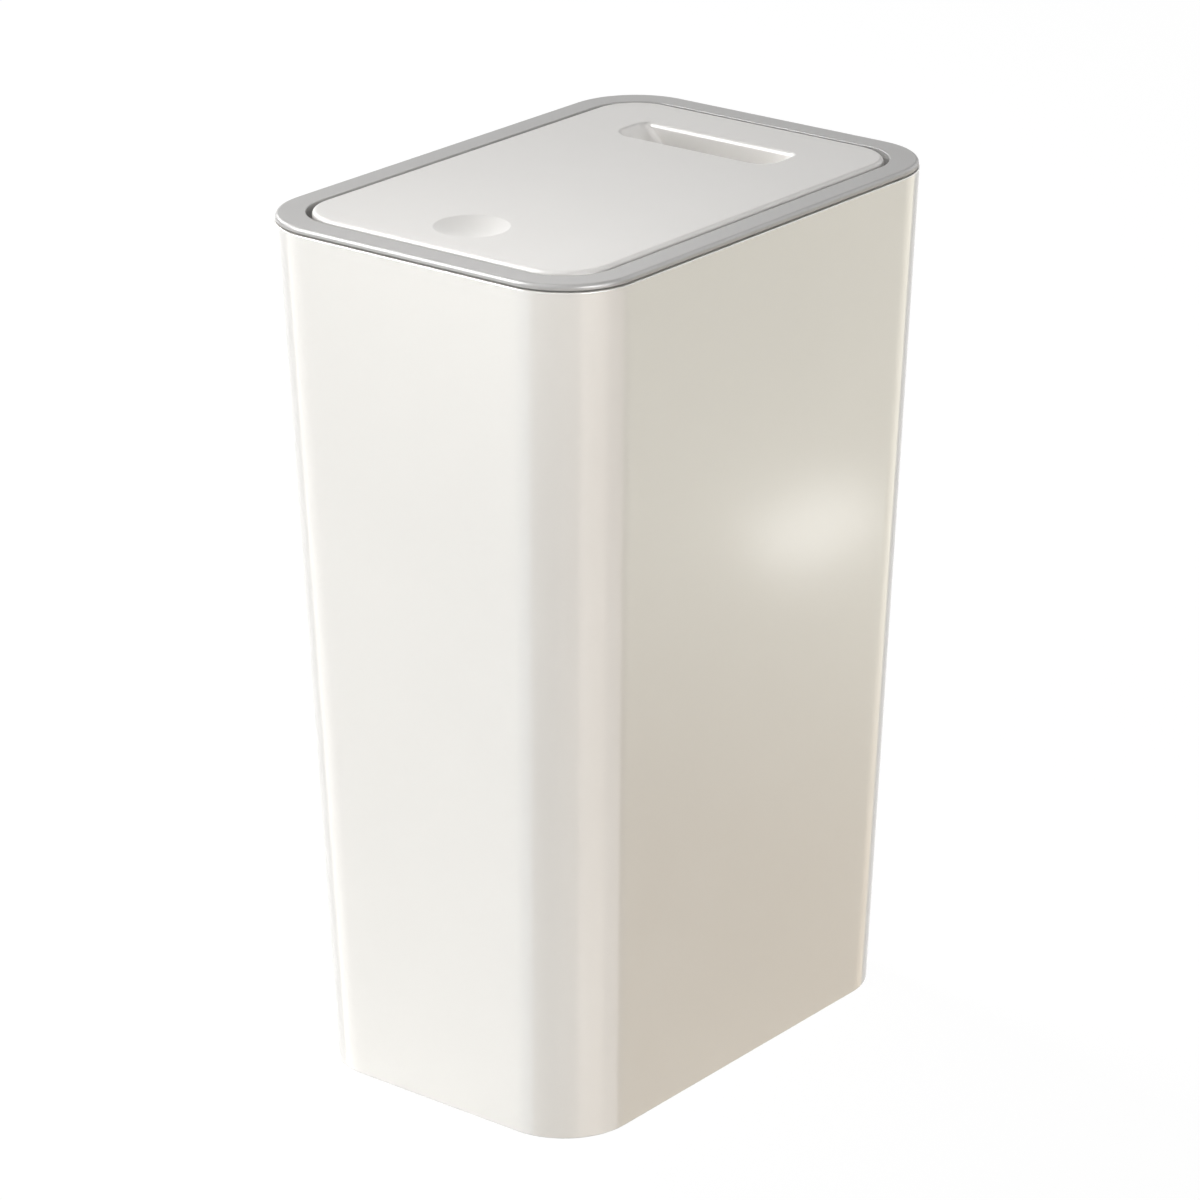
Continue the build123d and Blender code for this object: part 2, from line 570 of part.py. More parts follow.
def make_lid_liner():
    """Inner panel with a stiffening lip, the grip's window and the hinge knuckles."""
    inset = LID_SKIRT_WALL + LINER_CLEARANCE
    half_x = LID_HALF_X - inset
    half_y = LID_HALF_Y - inset
    corner = LID_CORNER - inset
    liner = slab(half_x, half_y, corner, LINER_BOTTOM, LINER_TOP + LINER_LIP)
    liner -= slab(
        half_x - LINER_LIP_WALL,
        half_y - LINER_LIP_WALL,
        corner - LINER_LIP_WALL,
        LINER_TOP,
        LINER_TOP + LINER_LIP + 1,
    )
    window = grip_solid(GRIP_DEPTH + GRIP_WALL, GRIP_WALL + GRIP_WINDOW_CLEARANCE, 0.0)
    liner -= window & slab(half_x, half_y, corner, LINER_BOTTOM - 1, LINER_TOP + 1)
    notch = hinge_notch(LINER_BOTTOM - 1, PANEL_BOTTOM)
    liner -= notch + mirror(notch, about=Plane.YZ)
    tongue = block(
        (KNUCKLE_INNER_X, HINGE_Y - NOTCH_REACH - 1, LINER_BOTTOM),
        (KNUCKLE_INNER_X + KNUCKLE_WIDTH, HINGE_Y, LINER_TOP),
    )
    knuckle = rod_x(
        KNUCKLE_INNER_X,
        KNUCKLE_INNER_X + KNUCKLE_WIDTH,
        HINGE_Y,
        HINGE_Z,
        KNUCKLE_RADIUS,
    )
    web = block(
        (KNUCKLE_INNER_X, HINGE_Y - KNUCKLE_RADIUS, LINER_BOTTOM),
        (KNUCKLE_INNER_X + KNUCKLE_WIDTH, HINGE_Y, HINGE_Z),
    )
    bore = rod_x(
        KNUCKLE_INNER_X - 1,
        KNUCKLE_INNER_X + KNUCKLE_WIDTH + 1,
        HINGE_Y,
        HINGE_Z,
        PIN_RADIUS + PIN_RUNNING_CLEARANCE,
    )
    arm = tongue + knuckle + web - bore
    liner += arm + mirror(arm, about=Plane.YZ)
    for x, y in lid_posts():
        liner -= post(x, y, LINER_BOTTOM - 1, LINER_TOP + 1, POST_BORE)
    pilot_top = striker_screw_head() + SCREW_HEAD_HEIGHT + SHORT_SCREW_LENGTH + PILOT_CLEARANCE
    for side in (-1, 1):
        x = side * STRIKER_SCREW_X
        liner += post(x, LATCH_Y, LINER_TOP, LINER_TOP + STRIKER_POST_HEIGHT, POST_RADIUS)
        liner -= post(x, LATCH_Y, LINER_BOTTOM - 1, pilot_top, SCREW_RADIUS + PILOT_CLEARANCE)
    return liner


def make_striker():
    """Flanged post with a wider head that the latch's jaws close over."""
    width, depth, thickness = STRIKER_FLANGE
    flange = Pos(0, LATCH_Y, STRIKER_TOP - thickness / 2) * Box(width, depth, thickness)
    flange = fillet(flange.edges().filter_by(Axis.Z), depth / 4)
    neck_x, neck_y = STRIKER_NECK
    neck = block(
        (-neck_x / 2, LATCH_Y - neck_y / 2, HEAD_BOTTOM),
        (neck_x / 2, LATCH_Y + neck_y / 2, STRIKER_TOP - thickness),
    )
    head_x, head_y, head_z = STRIKER_HEAD
    head = Pos(0, LATCH_Y, HEAD_BOTTOM + head_z / 2) * Box(head_x, head_y, head_z)
    head = chamfer(head.edges().group_by(Axis.Z)[0], STRIKER_LEAD)
    striker = flange + neck + head
    for side in (-1, 1):
        x = side * STRIKER_SCREW_X
        striker -= post(x, LATCH_Y, STRIKER_TOP - thickness - 1, STRIKER_TOP + 1, POST_BORE)
    return striker


def make_latch_housing():
    """Box open at its top, with two ears that screw to the underside of the deck."""
    half_x = LATCH_CAVITY[0] / 2
    half_y = LATCH_CAVITY[1] / 2
    housing = block(
        (-half_x - LATCH_WALL, LATCH_Y - half_y - LATCH_WALL, LATCH_BOTTOM),
        (half_x + LATCH_WALL, LATCH_Y + half_y + LATCH_WALL, LATCH_TOP),
    )
    housing = fillet(housing.edges().filter_by(Axis.Z), LATCH_WALL / 2)
    ear_x, ear_y, ear_z = LATCH_EAR
    for side, x in zip((-1, 1), latch_screw_places()):
        inner = side * (half_x + LATCH_WALL / 2)
        outer = side * (half_x + LATCH_WALL + LATCH_SCREW_FROM_WALL)
        low_x, high_x = min(inner, outer), max(inner, outer)
        housing += block(
            (low_x, LATCH_Y - ear_y / 2, DECK_BOTTOM - ear_z),
            (high_x, LATCH_Y + ear_y / 2, DECK_BOTTOM),
        )
        housing += post(x, LATCH_Y, DECK_BOTTOM - ear_z, DECK_BOTTOM, ear_y / 2)
        housing -= post(x, LATCH_Y, DECK_BOTTOM - ear_z - 1, DECK_BOTTOM + 1, POST_BORE)
    housing -= block(
        (-half_x, LATCH_Y - half_y, LATCH_CAVITY_FLOOR),
        (half_x, LATCH_Y + half_y, LATCH_TOP + 1),
    )
    wire_z = LATCH_CAVITY_FLOOR + CAM_WIRE_FROM_FLOOR
    wall_y = LATCH_Y + half_y
    hole = CAM_WIRE_RADIUS + PILOT_CLEARANCE
    return housing - rod_y(wall_y - 1, wall_y + LATCH_WALL + 1, CAM_WIRE_X, wire_z, hole)


def jaw_slot(side):
    """Room in the carriage's base for one jaw to swing."""
    inner = JAW_PIVOT_X - JAW_EYE_RADIUS - JAW_SLOT_CLEARANCE
    outer = JAW_PIVOT_X + JAW_EYE_RADIUS + JAW_SLOT_CLEARANCE
    low_x, high_x = sorted((side * inner, side * outer))
    half_y = JAW_WIDTH / 2 + JAW_SLOT_CLEARANCE
    return block(
        (low_x, LATCH_Y - half_y, JAW_PIVOT_Z - JAW_EYE_RADIUS - JAW_SLOT_CLEARANCE),
        (high_x, LATCH_Y + half_y, CARRIAGE_SEAT + 1),
    )


def make_latch_carriage():
    """Slide with two arms, jaw slots, a spring bore below and the cam track on its back."""
    half_x = LATCH_CAVITY[0] / 2 - LATCH_FIT
    half_y = LATCH_CAVITY[1] / 2 - LATCH_FIT
    carriage = block(
        (-half_x, LATCH_Y - half_y, CARRIAGE_BOTTOM),
        (half_x, LATCH_Y + half_y, CARRIAGE_SEAT + CARRIAGE_ARM),
    )
    carriage -= block(
        (-half_x + CARRIAGE_ARM_WALL, LATCH_Y - half_y - 1, CARRIAGE_SEAT),
        (half_x - CARRIAGE_ARM_WALL, LATCH_Y + half_y + 1, CARRIAGE_SEAT + CARRIAGE_ARM + 1),
    )
    for side in (-1, 1):
        carriage -= jaw_slot(side)
        hole = JAW_PIN_RADIUS + PIN_RUNNING_CLEARANCE
        x = side * JAW_PIVOT_X
        carriage -= rod_y(LATCH_Y - half_y - 1, LATCH_Y + half_y + 1, x, JAW_PIVOT_Z, hole)
    bore = LATCH_SPRING_COIL + LATCH_SPRING_WIRE / 2 + LATCH_SPRING_BORE_CLEARANCE
    carriage -= post(0, LATCH_Y, CARRIAGE_BOTTOM - 1, LATCH_SPRING_TOP, bore)
    return carriage - cam_track(LATCH_Y + half_y)


def cam_track(face_y):
    """Cam track cut into the carriage's back: a straight lane and a pocket round a heart."""
    room = CAM_WIRE_RADIUS + CAM_GAP
    low_y = face_y - CAM_TRACK_DEPTH
    heart_low = CAM_TIP_Z - CAM_HEART_BELOW_TIP
    pocket_top = CAM_TIP_Z + PRESS_STROKE + CAM_GAP
    pocket_half = abs(CAM_WIRE_X) + room
    track = block(
        (CAM_WIRE_X - room, low_y, CARRIAGE_BOTTOM - 1),
        (CAM_WIRE_X + room, face_y + 1, pocket_top),
    )
    track += block((-pocket_half, low_y, heart_low - room), (pocket_half, face_y + 1, pocket_top))
    half = CAM_HEART_WIDTH / 2
    middle = heart_low + CAM_HEART_HEIGHT / 2
    top = heart_low + CAM_HEART_HEIGHT
    corners = [(0, heart_low), (half, middle), (half / 2, top), (0, top - CAM_HEART_NOTCH)]
    corners += [(-half / 2, top), (-half, middle)]
    outline = Polyline([Vector(x, face_y, z) for x, z in corners], close=True)
    heart = extrude(make_face(outline.edges()), CAM_TRACK_DEPTH, dir=(0, -1, 0))
    return track - heart


def make_jaw(side):
    """Jaw with an eye at its foot and a hook at its top, drawn open."""
    inner = JAW_INNER_X
    outer = JAW_INNER_X + JAW_THICKNESS
    hook_tip = STRIKER_HEAD[0] / 2 + JAW_HEAD_CLEARANCE
    low_y = LATCH_Y - JAW_WIDTH / 2
    high_y = LATCH_Y + JAW_WIDTH / 2
    top = JAW_HOOK_BOTTOM + JAW_HOOK_HEIGHT
    jaw = block((inner, low_y, JAW_PIVOT_Z), (outer, high_y, top))
    jaw += block((hook_tip, low_y, JAW_HOOK_BOTTOM), (outer, high_y, top))
    lead = jaw.edges().filter_by(Axis.Y).sort_by(Axis.X)[:2].sort_by(Axis.Z)[-1]
    jaw = chamfer(lead, JAW_LEAD)
    jaw += rod_y(low_y, high_y, JAW_PIVOT_X, JAW_PIVOT_Z, JAW_EYE_RADIUS)
    jaw -= rod_y(low_y - 1, high_y + 1, JAW_PIVOT_X, JAW_PIVOT_Z, JAW_PIN_RADIUS + PIN_RUNNING_CLEARANCE)
    return jaw if side > 0 else mirror(jaw, about=Plane.YZ)


def make_jaw_pins():
    """The two jaw pivots."""
    half_y = LATCH_CAVITY[1] / 2 - LATCH_FIT
    low_y = LATCH_Y - half_y
    high_y = LATCH_Y + half_y
    places = (-JAW_PIVOT_X, JAW_PIVOT_X)
    return Compound(children=[rod_y(low_y, high_y, x, JAW_PIVOT_Z, JAW_PIN_RADIUS) for x in places])


def biarc(start, start_way, end, end_way):
    """Two tangent arcs between two points with given directions."""
    chord = end - start
    total = start_way + end_way
    spread = 2 * (1 - start_way.dot(end_way))
    reach = chord.dot(total)
    span = (-reach + math.sqrt(reach * reach + spread * chord.dot(chord))) / spread
    first = start + start_way * span
    second = end - end_way * span
    middle = (first + second) * 0.5
    middle_way = (second - first).normalized()
    return [
        TangentArc(start, middle, tangent=start_way),
        TangentArc(middle, end, tangent=middle_way),
    ]


def coil_edges(radius, pitch, turns, start_angle, turn_way, place):
    """Quarter turns of a coil as tangent arcs; place puts (along, across, up) into the part."""
    steps = round(turns * 4)
    points = []
    ways = []
    for i in range(steps + 1):
        angle = start_angle + turn_way * i * math.pi / 2
        rise = pitch / (2 * math.pi)
        points.append(place(pitch * i / 4, radius * math.cos(angle), radius * math.sin(angle)))
        across = -turn_way * radius * math.sin(angle)
        up = turn_way * radius * math.cos(angle)
        tip = place(pitch * i / 4 + rise, radius * math.cos(angle) + across, radius * math.sin(angle) + up)
        ways.append((tip - points[-1]).normalized())
    edges = []
    for i in range(steps):
        edges += biarc(points[i], ways[i], points[i + 1], ways[i + 1])
    return edges, points, ways


def print_least_gap(name, edges, wire_radius):
    """Least gap between turns of a coil, measured on points along its arcs."""
    points = [edge @ (i / 4) for edge in edges for i in range(4)]
    half_turn = 4 * 4
    far = range(half_turn, len(points))
    gap = min((points[i] - points[j]).length for i in far for j in range(i - half_turn + 1))
    print(f"{name}: least gap between turns {gap - 2 * wire_radius:.2f} mm")


def sweep_wire(edges, wire_radius):
    """Round wire along a path of lines and arcs."""
    path = Wire(edges)
    start = path.position_at(0)
    way = path.tangent_at(0)
    return sweep(Plane(start, z_dir=way) * Circle(wire_radius), path=path)


def make_hinge_spring(side):
    """Torsion spring round a hinge pin, wound as with the lid shut.

    One leg stands in the deck behind the axis and the other lies under the cover, in front of it.
    """
    turns = LID_SPRING_TURNS + 0.25

    def place(along, across, up):
        return Vector(SPRING_START_X + LID_SPRING_SIDE + along, HINGE_Y + across, HINGE_Z + up)

    edges, points, ways = coil_edges(LID_SPRING_COIL, LID_SPRING_PITCH, turns, 0.0, 1, place)
    print_least_gap("hinge spring", edges, LID_SPRING_WIRE / 2)
    foot = points[0] - ways[0] * (points[0].Z - (DECK_TOP - LEG_HOLE_DEPTH))
    tip = points[-1] + ways[-1] * LID_SPRING_ARM
    spring = sweep_wire([Line(foot, points[0])] + edges + [Line(points[-1], tip)], LID_SPRING_WIRE / 2)
    return spring if side > 0 else mirror(spring, about=Plane.YZ)


def make_latch_spring():
    """Compression spring between the housing's floor and the carriage."""
    low = LATCH_CAVITY_FLOOR + LATCH_SPRING_WIRE / 2
    high = LATCH_SPRING_TOP - LATCH_SPRING_WIRE / 2

    def place(along, across, up):
        return Vector(across, LATCH_Y + up, low + along)

    pitch = (high - low) / LATCH_SPRING_TURNS
    edges, _, _ = coil_edges(LATCH_SPRING_COIL, pitch, LATCH_SPRING_TURNS, 0.0, 1, place)
    print_least_gap("latch spring", edges, LATCH_SPRING_WIRE / 2)
    return sweep_wire(edges, LATCH_SPRING_WIRE / 2)


def make_hinge_pin(side):
    """Headed pin through both ears and the knuckle."""
    head_end = HINGE_INNER_X - PIN_RUNNING_CLEARANCE
    pin = rod_x(head_end, HINGE_OUTER_X + PIN_HEAD_WIDTH / 2, HINGE_Y, HINGE_Z, PIN_RADIUS)
    pin += rod_x(head_end - PIN_HEAD_WIDTH, head_end, HINGE_Y, HINGE_Z, PIN_HEAD_RADIUS)
    return pin if side > 0 else mirror(pin, about=Plane.YZ)


def make_cam_wire():
    """Follower wire: hooked into the housing's back wall, its tip in the cam track."""
    wall_y = LATCH_Y + LATCH_CAVITY[1] / 2
    shaft_y = wall_y - LATCH_FIT - CAM_TRACK_DEPTH / 2
    low_z = LATCH_CAVITY_FLOOR + CAM_WIRE_FROM_FLOOR
    path = FilletPolyline(
        (CAM_WIRE_X, wall_y + LATCH_WALL, low_z),
        (CAM_WIRE_X, shaft_y, low_z),
        (CAM_WIRE_X, shaft_y, CAM_TIP_Z),
        radius=2 * CAM_WIRE_RADIUS,
    )
    return sweep_wire(path.edges(), CAM_WIRE_RADIUS)


def screws(places, head_bottom, length):
    """Group of identical screws."""
    return Compound(children=[screw(x, y, head_bottom, length) for x, y in places])


nodes = {
    "bucket": make_bucket(),
    "top_frame": make_top_frame(),
    "inner_frame": make_inner_frame(),
    "frame_screws": screws(frame_posts(), DECK_BOTTOM - SCREW_HEAD_HEIGHT, FRAME_SCREW_LENGTH),
    "latch_housing": make_latch_housing(),
    "latch_screws": screws(
        [(x, LATCH_Y) for x in latch_screw_places()],
        latch_screw_head(),
        SHORT_SCREW_LENGTH,
    ),
    "latch_spring": make_latch_spring(),
    "cam_wire": make_cam_wire(),
    "latch_carriage": make_latch_carriage(),
    "jaw_pins": make_jaw_pins(),
    "latch_jaw_left": make_jaw(-1),
    "latch_jaw_right": make_jaw(1),
    "hinge_pin_left": make_hinge_pin(-1),
    "hinge_pin_right": make_hinge_pin(1),
    "hinge_spring_left": make_hinge_spring(-1),
    "hinge_spring_right": make_hinge_spring(1),
    "lid_cover": make_lid_cover(),
    "lid_liner": make_lid_liner(),
    "lid_screws": screws(lid_posts(), LINER_BOTTOM - SCREW_HEAD_HEIGHT, LID_SCREW_LENGTH),
    "striker": make_striker(),
    "striker_screws": screws(
        [(s * STRIKER_SCREW_X, LATCH_Y) for s in (-1, 1)],
        striker_screw_head(),
        SHORT_SCREW_LENGTH,
    ),
}

for name, shape in nodes.items():
    export_step(shape, f"parts/{name}.step")
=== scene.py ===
import bpy
import bmesh
import math
from mathutils import Matrix, Quaternion, Vector


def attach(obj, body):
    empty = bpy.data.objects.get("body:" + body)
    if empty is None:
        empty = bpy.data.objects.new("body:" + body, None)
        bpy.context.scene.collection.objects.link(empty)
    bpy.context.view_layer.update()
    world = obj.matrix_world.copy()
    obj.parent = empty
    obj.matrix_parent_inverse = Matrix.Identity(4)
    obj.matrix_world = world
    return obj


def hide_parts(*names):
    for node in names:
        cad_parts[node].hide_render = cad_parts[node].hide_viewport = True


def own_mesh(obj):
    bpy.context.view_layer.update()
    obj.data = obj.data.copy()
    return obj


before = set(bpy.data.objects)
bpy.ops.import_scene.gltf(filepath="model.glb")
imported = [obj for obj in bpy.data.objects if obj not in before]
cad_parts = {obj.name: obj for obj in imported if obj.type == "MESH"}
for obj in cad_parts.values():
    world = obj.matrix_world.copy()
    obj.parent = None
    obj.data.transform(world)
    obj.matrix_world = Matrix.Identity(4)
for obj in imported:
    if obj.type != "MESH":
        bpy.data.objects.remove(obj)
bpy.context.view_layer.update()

# Sizes in millimetres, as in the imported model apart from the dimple's depth and the ring's roundings.
# top, base and the HALF values are (x, y, corner radius)
BUCKET = dict(height=396.6, top=(186.1, 263.8, 34.9), base=(159.4, 240.2, 33.9), wall=2.2, foot=2.8)
BASE_RIB = dict(half_width=0.9, step_x=44.0, step_y=50.0, depth=3.6)
RING_TOP = 400.0
RING_BOTTOM = 396.9
RING_HALF = (92.65, 131.5, 34.5)
OPENING_HALF = (80.65, 119.5, 25.0)
LOCATOR = dict(outer_inset=2.55, inner_inset=4.35, bottom=390.9)
RING_BOSS = dict(spots=((85.575, 62.0), (48.0, 124.425)), radius=3.0, bore=1.5, bottom=393.0, bore_top=396.0)
LID_TOP = 400.7
PANEL_BOTTOM = 398.5
SKIRT_BOTTOM = 392.5
LID_HALF = (78.15, 116.6, 22.5)
DIMPLE = dict(x=-2.5, y=-85.7, radius=16.5, depth=3.3, dome=2.4)
GRIP = dict(x=-2.5, y=76.35, length=87.6, width=22.7, depth=14.0, run=13.0, near=8.5, far=4.5, edge=2.2)
HINGE_NOTCH = dict(x0=33.88, x1=59.92, y0=98.1, recess_y1=110.1, recess_top=399.3)
SEGMENTS = 24
SHARP_ANGLE = 32.0


def rounded(half_x, half_y, radii, segments=SEGMENTS, centre=(0.0, 0.0)):
    """Rounded rectangle, anticlockwise, as (x, y, normal x, normal y).

    radii: one for all corners, or back right, back left, front left, front right.
    """
    if not isinstance(radii, (tuple, list)):
        radii = (radii,) * 4
    points = []
    for k, (sx, sy) in enumerate(((1, 1), (-1, 1), (-1, -1), (1, -1))):
        r = radii[k]
        for i in range(segments + 1):
            a = math.radians(90 * k + 90 * i / segments)
            nx, ny = math.cos(a), math.sin(a)
            x = centre[0] + sx * (half_x - r) + r * nx
            y = centre[1] + sy * (half_y - r) + r * ny
            points.append((x, y, nx, ny))
    return points


def bucket_plan(z, inset):
    """The bucket's outline at height z, drawn in by inset."""
    t = z / BUCKET["height"]
    w, d, r = (b + (a - b) * t for a, b in zip(BUCKET["top"], BUCKET["base"]))
    return rounded(w / 2 - inset, d / 2 - inset, r - inset)


def plan(half, inset=0.0):
    """Outline of (half x, half y, corner), drawn in by inset."""
    return rounded(half[0] - inset, half[1] - inset, half[2] - inset)


def arc(steps, start=0.0, end=90.0):
    """Sine and cosine at even steps between two angles."""
    for i in range(steps + 1):
        a = math.radians(start + (end - start) * i / steps)
        yield math.sin(a), math.cos(a)


class Builder:
    """Collects loops of points and the faces between them."""

    def __init__(self):
        self.bm = bmesh.new()

    def loop(self, outline, z):
        """Adds one closed loop. z is a height or one height per point."""
        heights = z if isinstance(z, (list, tuple)) else [z] * len(outline)
        return [self.bm.verts.new((p[0] / 1000, p[1] / 1000, h / 1000)) for p, h in zip(outline, heights)]

    def bridge(self, a, b):
        """Quads between two loops of the same count."""
        n = len(a)
        for i in range(n):
            j = (i + 1) % n
            self.bm.faces.new((a[i], a[j], b[j], b[i]))

    def tube(self, loops, closed=False):
        """Bridges a row of loops."""
        for a, b in zip(loops, loops[1:]):
            self.bridge(a, b)
        if closed:
            self.bridge(loops[-1], loops[0])

    def cap(self, *loops):
        """Fills the flat area inside the first loop and outside the others."""
        edges = []
        for loop in loops:
            for i, v in enumerate(loop):
                w = loop[(i + 1) % len(loop)]
                edges.append(self.bm.edges.get((v, w)) or self.bm.edges.new((v, w)))
        bmesh.ops.triangle_fill(self.bm, use_beauty=True, edges=edges, normal=(0, 0, 1))

    def ring(self, x, y, radius, z, count=96):
        """Adds a circular loop."""
        turns = [2 * math.pi * i / count for i in range(count)]
        return self.loop([(x + radius * math.cos(a), y + radius * math.sin(a)) for a in turns], z)

    def finish(self, name):
        """Makes the object, with its faces shaded smooth."""
        bmesh.ops.remove_doubles(self.bm, verts=self.bm.verts, dist=1e-6)
        bmesh.ops.recalc_face_normals(self.bm, faces=self.bm.faces)
        mesh = bpy.data.meshes.new(name)
        self.bm.to_mesh(mesh)
        self.bm.free()
        obj = bpy.data.objects.new(name, mesh)
        bpy.context.scene.collection.objects.link(obj)
        shade(obj)
        return obj


def shade(obj):
    """Smooth shading with sharp edges over an angle, weighted towards the large faces."""
    bm = bmesh.new()
    bm.from_mesh(obj.data)
    limit = math.radians(SHARP_ANGLE)
    for f in bm.faces:
        f.smooth = True
    for e in bm.edges:
        e.smooth = e.is_manifold and e.calc_face_angle(0.0) < limit
    bm.to_mesh(obj.data)
    bm.free()
    weighted = obj.modifiers.new("weighted", "WEIGHTED_NORMAL")
    weighted.keep_sharp = True
    weighted.weight = 90


def apply_cuts(obj, cutters, operation="DIFFERENCE"):
    """Cuts other objects out of obj, or joins them to it, deletes them and shades obj again."""
    obj.modifiers.clear()
    for k, cutter in enumerate(cutters):
        cut = obj.modifiers.new(f"cut{k}", "BOOLEAN")
        cut.operation = operation
        cut.solver = "EXACT"
        cut.object = cutter
    mesh = bpy.data.meshes.new_from_object(obj.evaluated_get(bpy.context.evaluated_depsgraph_get()))
    obj.modifiers.clear()
    obj.data = mesh
    for cutter in cutters:
        bpy.data.objects.remove(cutter)
    shade(obj)


def box(name, low, high):
    """Plain box between two corners, for cuts and ribs."""
    bm = bmesh.new()
    bmesh.ops.create_cube(bm, size=1.0)
    for v in bm.verts:
        v.co = Vector((low[i] + (high[i] - low[i]) * (v.co[i] + 0.5)) / 1000 for i in range(3))
    mesh = bpy.data.meshes.new(name)
    bm.to_mesh(mesh)
    bm.free()
    obj = bpy.data.objects.new(name, mesh)
    bpy.context.scene.collection.objects.link(obj)
    return obj


# Materials. Noise scales are in features per metre


NOISE_MIDDLE = (0.3, 0.7)


class Nodes:
    """Short way to add and join shader nodes."""

    def __init__(self, name):
        self.material = bpy.data.materials.new(name)
        self.material.use_nodes = True
        self.tree = self.material.node_tree
        self.shader = self.tree.nodes["Principled BSDF"]
        self.place = self.add("ShaderNodeTexCoord").outputs["Object"]

    def add(self, kind, **values):
        node = self.tree.nodes.new(kind)
        for key, value in values.items():
            setattr(node, key, value)
        return node

    def link(self, a, b):
        self.tree.links.new(a, b)

    def noise(self, scale, detail=2.0, roughness=0.5, stretch=None):
        """Noise in object space, stretched by a share per axis."""
        node = self.add("ShaderNodeTexNoise")
        node.inputs["Scale"].default_value = scale
        node.inputs["Detail"].default_value = detail
        node.inputs["Roughness"].default_value = roughness
        if stretch:
            mapping = self.add("ShaderNodeMapping")
            mapping.inputs["Scale"].default_value = stretch
            self.link(self.place, mapping.inputs["Vector"])
            self.link(mapping.outputs["Vector"], node.inputs["Vector"])
        else:
            self.link(self.place, node.inputs["Vector"])
        return node.outputs["Fac"]

    def tint(self, value, colour, variation):
        """The colour, from a little darker to a little lighter as the noise goes round its middle."""
        node = self.add("ShaderNodeValToRGB")
        for element, position, sign in zip(node.color_ramp.elements, NOISE_MIDDLE, (-1, 1)):
            element.position = position
            element.color = (*(c * (1 + sign * variation) for c in colour), 1.0)
        self.link(value, node.inputs["Fac"])
        return node.outputs["Color"]

    def spread(self, value, middle, change):
        """Maps noise round its middle to a number, give or take a change."""
        node = self.add("ShaderNodeMapRange")
        node.inputs["From Min"].default_value = NOISE_MIDDLE[0]
        node.inputs["From Max"].default_value = NOISE_MIDDLE[1]
        node.inputs["To Min"].default_value = middle - change
        node.inputs["To Max"].default_value = middle + change
        self.link(value, node.inputs["Value"])
        return node.outputs["Result"]

    def bump(self, height, strength, distance, normal=None):
        """Bump from a height, distance in millimetres."""
        node = self.add("ShaderNodeBump")
        node.inputs["Strength"].default_value = strength
        node.inputs["Distance"].default_value = distance / 1000
        self.link(height, node.inputs["Height"])
        if normal is not None:
            self.link(normal, node.inputs["Normal"])
        return node.outputs["Normal"]


def moulded_plastic(name, colour, roughness, grain, grain_depth, coat=0.0, variation=0.012):
    """Moulded plastic: a fine spark-eroded grain, soft flow clouds in the colour and uneven gloss.

    grain is in features per metre and grain_depth in millimetres.
    """
    n = Nodes(name)
    flow_clouds, gloss_patches, waviness = 9.0, 38.0, 14.0
    n.link(n.tint(n.noise(flow_clouds, 3.0), colour, variation), n.shader.inputs["Base Color"])
    n.link(n.spread(n.noise(gloss_patches, 3.0), roughness, 0.03), n.shader.inputs["Roughness"])
    fine = n.bump(n.noise(grain, 2.0, 0.6), 0.35, grain_depth)
    n.link(n.bump(n.noise(waviness, 1.0), 0.2, 0.05, fine), n.shader.inputs["Normal"])
    n.shader.inputs["IOR"].default_value = 1.5
    n.shader.inputs["Coat Weight"].default_value = coat
    n.shader.inputs["Coat Roughness"].default_value = 0.12
    return n.material


def steel(name, colour, roughness, stretch):
    """Drawn and plated steel: fine marks along one direction and small changes in tone."""
    n = Nodes(name)
    tone, polish, marks = 600.0, 900.0, 1500.0
    n.link(n.tint(n.noise(tone, 3.0, 0.5, stretch), colour, 0.06), n.shader.inputs["Base Color"])
    n.link(n.spread(n.noise(polish, 2.0, 0.5, stretch), roughness, 0.06), n.shader.inputs["Roughness"])
    n.link(n.bump(n.noise(marks, 2.0, 0.5, stretch), 0.2, 0.02), n.shader.inputs["Normal"])
    n.shader.inputs["Metallic"].default_value = 1.0
    return n.material


bucket_white = moulded_plastic("bucket_white", (0.85, 0.836, 0.795), 0.32, 2600.0, 0.012, coat=0.8)
lid_white = moulded_plastic("lid_white", (0.825, 0.808, 0.782), 0.42, 2400.0, 0.018)
liner_white = moulded_plastic("liner_white", (0.78, 0.775, 0.75), 0.5, 1700.0, 0.03)
frame_grey = moulded_plastic("frame_grey", (0.474, 0.466, 0.457), 0.38, 2400.0, 0.018)
latch_grey = moulded_plastic("latch_grey", (0.16, 0.16, 0.165), 0.36, 2000.0, 0.02, variation=0.05)
spring_steel = steel("spring_steel", (0.60, 0.61, 0.62), 0.28, (1.0, 1.0, 1.0))
screw_steel = steel("screw_steel", (0.66, 0.66, 0.64), 0.32, (1.0, 1.0, 0.2))


# Pieces that replace the nodes with finely curved surfaces


